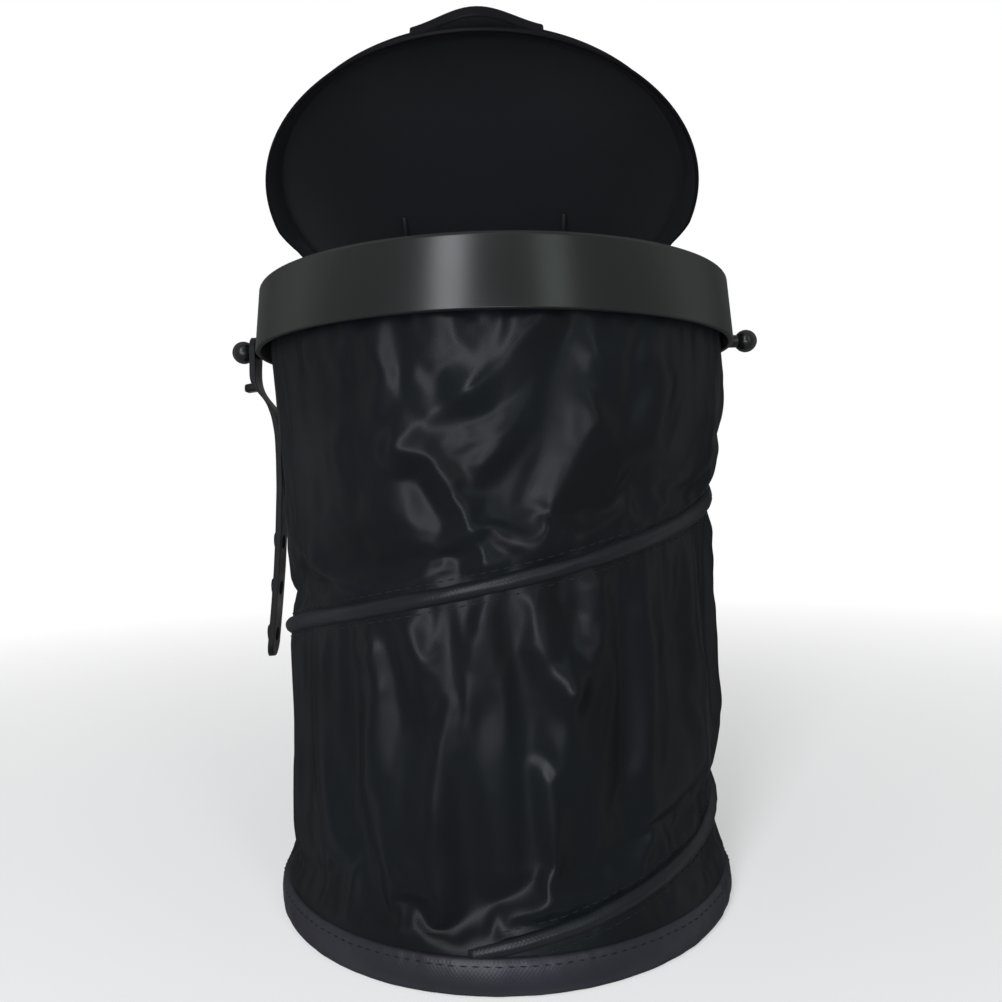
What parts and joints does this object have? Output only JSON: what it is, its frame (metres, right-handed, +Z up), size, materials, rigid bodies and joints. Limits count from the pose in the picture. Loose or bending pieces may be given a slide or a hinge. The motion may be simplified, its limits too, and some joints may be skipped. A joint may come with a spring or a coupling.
{
  "type": "collapsible car trash bin",
  "caption": "Round pop-up fabric bin on a spiral spring wire, with a moulded collar, a hinged lid that stands ajar and a rubber hanging strap.",
  "frame": {"origin": "middle of the underside, on the surface the bin stands on", "axes": "+Z up along the drum's axis, -Y towards the front, where the lid opens, +X to the right as seen from the front; the strap hangs on -X"},
  "size_m": [0.193, 0.17, 0.2842],
  "materials": {
    "collar_plastic": "satin moulded polypropylene",
    "lid_plastic": "fine matt moulded polypropylene",
    "drum_cloth": "coated woven polyester with a soft sheen",
    "binding_cloth": "woven polyester tape, sewn",
    "board_plastic": "plain sheet",
    "steel": "drawn spring wire",
    "rubber": "smooth moulded"
  },
  "bodies": {
    "base": {"drum_fabric": "drum_cloth", "wire_casing": "binding_cloth", "spring_wire": "steel", "base_hoop": "steel", "base_hem": "binding_cloth", "base_panel": "drum_cloth", "base_board": "board_plastic", "lower_ferrule": "steel"},
    "collar": {"collar": "collar_plastic", "clamp_ring": "collar_plastic", "hinge_pin": "steel", "top_hoop": "steel", "top_hem": "binding_cloth", "upper_ferrule": "steel"},
    "lid": {"lid": "lid_plastic"},
    "strap": {"strap": "rubber"}
  },
  "joints": [
    {"name": "collapse", "type": "slide", "parent": "base", "child": "collar", "axis": [0, 0, 1], "range_m": [-0.165, 0], "stiffness_N_per_m": 30, "springref_m": 0.06, "deforming": ["drum_fabric", "wire_casing", "spring_wire", "strap"]},
    {"name": "lid_hinge", "type": "hinge", "parent": "collar", "child": "lid", "pos_m": [0, 0.08, 0.2168], "axis": [-1, 0, 0], "range_deg": [-23, 82]},
    {"name": "strap_swing", "type": "hinge", "parent": "collar", "child": "strap", "pos_m": [-0.088, 0, 0.1954], "axis": [1, 0, 0], "range_deg": [-55, 55]}
  ]
}
